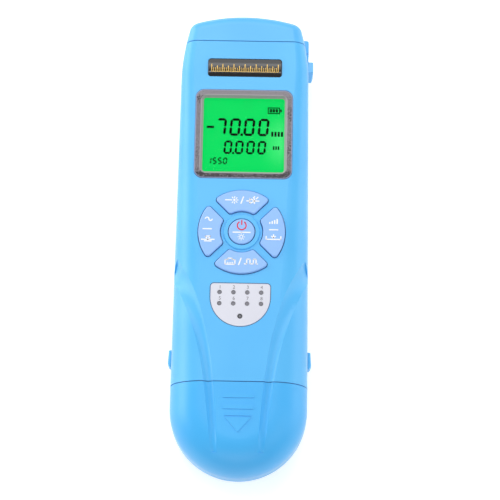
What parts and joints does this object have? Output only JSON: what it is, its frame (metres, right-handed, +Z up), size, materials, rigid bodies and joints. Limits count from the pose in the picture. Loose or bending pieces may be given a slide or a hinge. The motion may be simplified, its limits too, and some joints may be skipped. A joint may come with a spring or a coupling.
{
  "type": "optical power meter",
  "caption": "Hand-held optical power meter with fault locator and wire test socket: lit display, ring of keys, indicator plate, hinged dust cover, pull-off battery cover.",
  "frame": {"origin": "middle of the footprint, on the surface the meter lies on when it rests on its back", "axes": "+X to the meter's right, +Y from the foot to the head with the ports, +Z up out of the display"},
  "size_m": [0.0526, 0.175, 0.0309],
  "materials": {
    "housing_blue": "fine satin, light blue",
    "foot_blue": "fine satin, blue",
    "cover_blue": "soft satin, light blue",
    "latch_blue": "satin, darker blue",
    "frame_grey": "grey with fine speckles",
    "window_clear": "clear, glossy",
    "glass_green": "lit green",
    "segment_black": "dark",
    "backlight_white": "translucent white",
    "strip_grey": "matte",
    "plate_black": "domed, high gloss",
    "key_blue": "satin, light blue",
    "mat_grey": "matte silicone",
    "indicator_white": "satin white",
    "pipe_clear": "clear",
    "lamp_white": "white",
    "board_green": "solder mask",
    "screw_steel": "zinc plated",
    "chip_black": "matte",
    "can_steel": "satin",
    "panel_black": "satin",
    "jack_black": "satin",
    "contact_gold": "gold plated",
    "port_nickel": "nickel plated",
    "sleeve_white": "polished",
    "barrel_brass": "turned",
    "torch_clear": "clear epoxy",
    "tray_grey": "matte",
    "spring_steel": "bright",
    "cell_silver": "plain jacket"
  },
  "bodies": {
    "housing": {"front_shell": "housing_blue", "rear_shell": "housing_blue", "strap_anchor": "cover_blue", "hinge_strip": "cover_blue", "display_frame": "frame_grey", "display_window": "window_clear", "lcd_glass": "glass_green", "lcd_segments": "segment_black", "backlight": "backlight_white", "contact_strip": "strip_grey", "name_plate": "plate_black", "keypad_mat": "mat_grey", "indicator_plate": "indicator_white", "wire_light_pipes": "pipe_clear", "link_light_pipe": "pipe_clear", "wire_lights": "lamp_white", "link_light": "lamp_white", "main_board": "board_green", "board_screws": "screw_steel", "case_screws": "screw_steel", "processor_chip": "chip_black", "signal_chip": "chip_black", "crystal": "can_steel", "buzzer": "chip_black", "port_panel": "panel_black", "network_jack": "jack_black", "jack_contacts": "contact_gold", "fibre_adapter": "port_nickel", "alignment_sleeve": "sleeve_white", "fibre_nut": "port_nickel", "photodiode": "can_steel", "locator_port": "port_nickel", "laser_module": "barrel_brass", "torch_led": "torch_clear", "battery_sleeve": "tray_grey", "contact_board": "board_green", "contact_buttons": "spring_steel", "latch_spring_right": "spring_steel", "latch_spring_left": "spring_steel", "cell_1": "cell_silver", "cell_2": "cell_silver", "cell_3": "cell_silver"},
    "foot_cover": {"foot_cover": "foot_blue", "contact_carrier": "tray_grey", "leaf_contacts": "spring_steel"},
    "dust_cover": {"dust_cover": "cover_blue"},
    "power_key": {"power_key": "key_blue"},
    "top_key": {"top_key": "key_blue"},
    "bottom_key": {"bottom_key": "key_blue"},
    "left_key": {"left_key": "key_blue"},
    "right_key": {"right_key": "key_blue"},
    "latch_right": {"latch_right": "latch_blue"},
    "latch_left": {"latch_left": "latch_blue"}
  },
  "joints": [
    {"name": "dust_cover_hinge", "type": "hinge", "parent": "housing", "child": "dust_cover", "pos_m": [0.0242, 0.0757, 0.012], "axis": [0, 0, -1], "range_deg": [0, 110], "deforming": ["hinge_strip"]},
    {"name": "foot_cover_slide", "type": "slide", "parent": "housing", "child": "foot_cover", "axis": [0, -1, 0], "range_m": [0, 0.04]},
    {"name": "power_key_press", "type": "slide", "parent": "housing", "child": "power_key", "axis": [0, 0, -1], "range_m": [0, 0.0006], "stiffness_N_per_m": 1500},
    {"name": "top_key_press", "type": "slide", "parent": "housing", "child": "top_key", "axis": [0, 0, -1], "range_m": [0, 0.0006], "stiffness_N_per_m": 1500},
    {"name": "bottom_key_press", "type": "slide", "parent": "housing", "child": "bottom_key", "axis": [0, 0, -1], "range_m": [0, 0.0006], "stiffness_N_per_m": 1500},
    {"name": "left_key_press", "type": "slide", "parent": "housing", "child": "left_key", "axis": [0, 0, -1], "range_m": [0, 0.0006], "stiffness_N_per_m": 1500},
    {"name": "right_key_press", "type": "slide", "parent": "housing", "child": "right_key", "axis": [0, 0, -1], "range_m": [0, 0.0006], "stiffness_N_per_m": 1500},
    {"name": "latch_right_squeeze", "type": "slide", "parent": "housing", "child": "latch_right", "axis": [-1, 0, 0], "range_m": [0, 0.0012], "stiffness_N_per_m": 2000, "deforming": ["latch_spring_right"]},
    {"name": "latch_left_squeeze", "type": "slide", "parent": "housing", "child": "latch_left", "axis": [1, 0, 0], "range_m": [0, 0.0012], "stiffness_N_per_m": 2000, "deforming": ["latch_spring_left"]}
  ]
}
